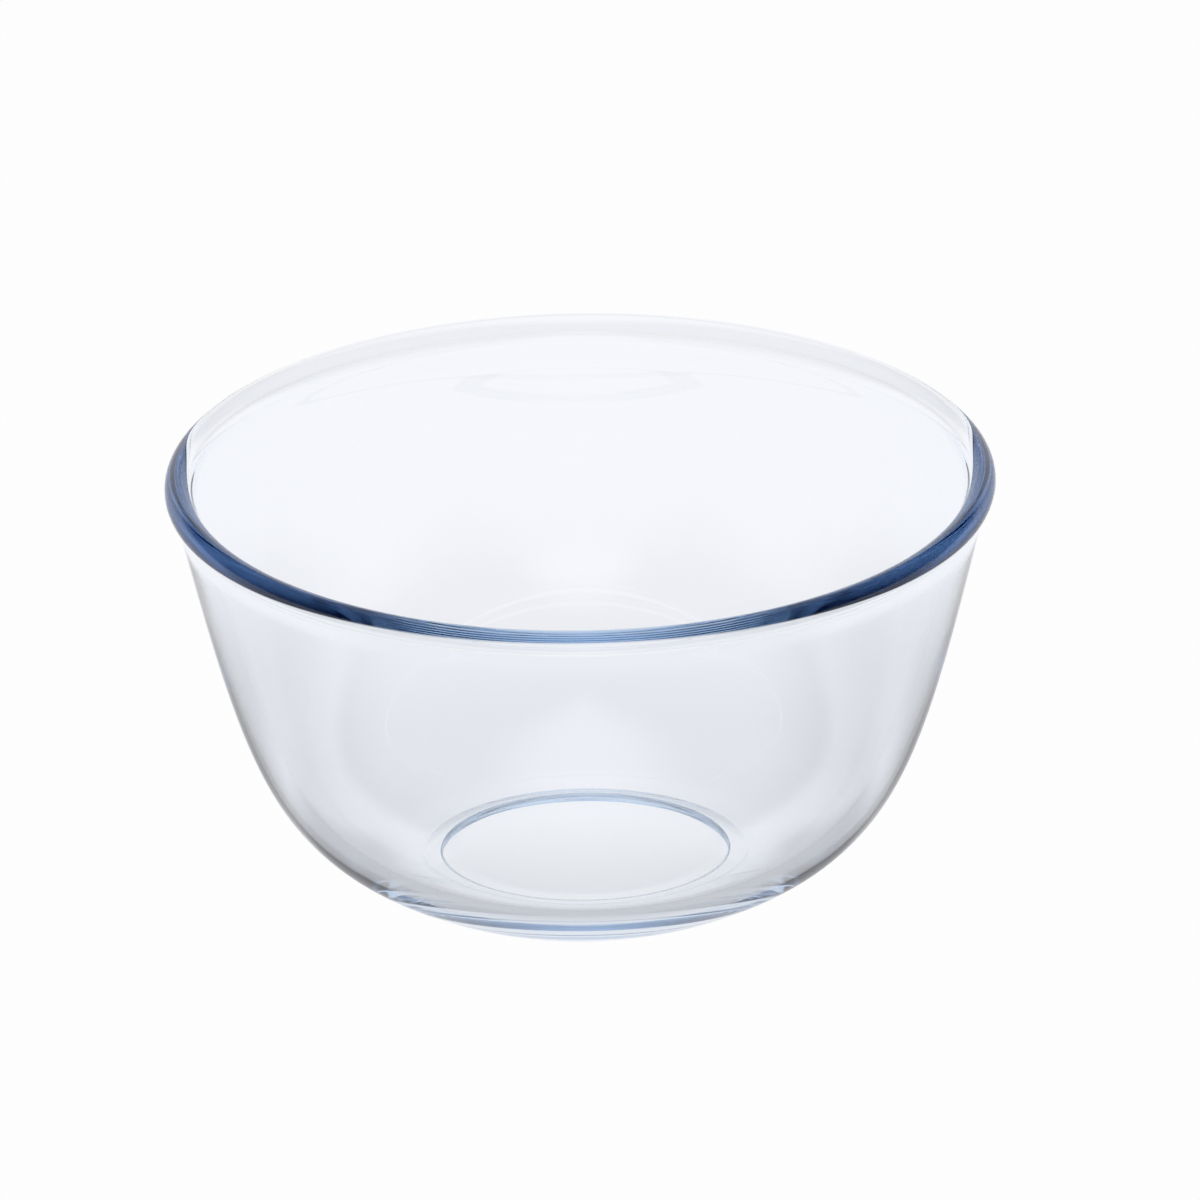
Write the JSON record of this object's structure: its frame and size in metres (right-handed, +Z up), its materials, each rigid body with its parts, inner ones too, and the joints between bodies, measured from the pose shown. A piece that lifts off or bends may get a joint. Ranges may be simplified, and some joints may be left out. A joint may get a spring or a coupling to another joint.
{
  "type": "glass bowl",
  "caption": "Clear pressed-glass mixing bowl with flaring sides, a rolled bead rim, a rounded heel and a low foot ring round a hollow, for mixing and serving food.",
  "frame": {"origin": "centre of the circle that the foot ring stands on", "axes": "+Z up along the bowl's axis of revolution, X and Y level; the bowl is round, so the direction of X is free"},
  "size_m": [0.17, 0.17, 0.09],
  "materials": {
    "clear_glass": "fire-polished clear pressed glass with a faint blue cast that deepens where the glass is seen edge on, as in the near half of the rim"
  },
  "bodies": {
    "root": {"bowl": "clear_glass"}
  },
  "joints": []
}
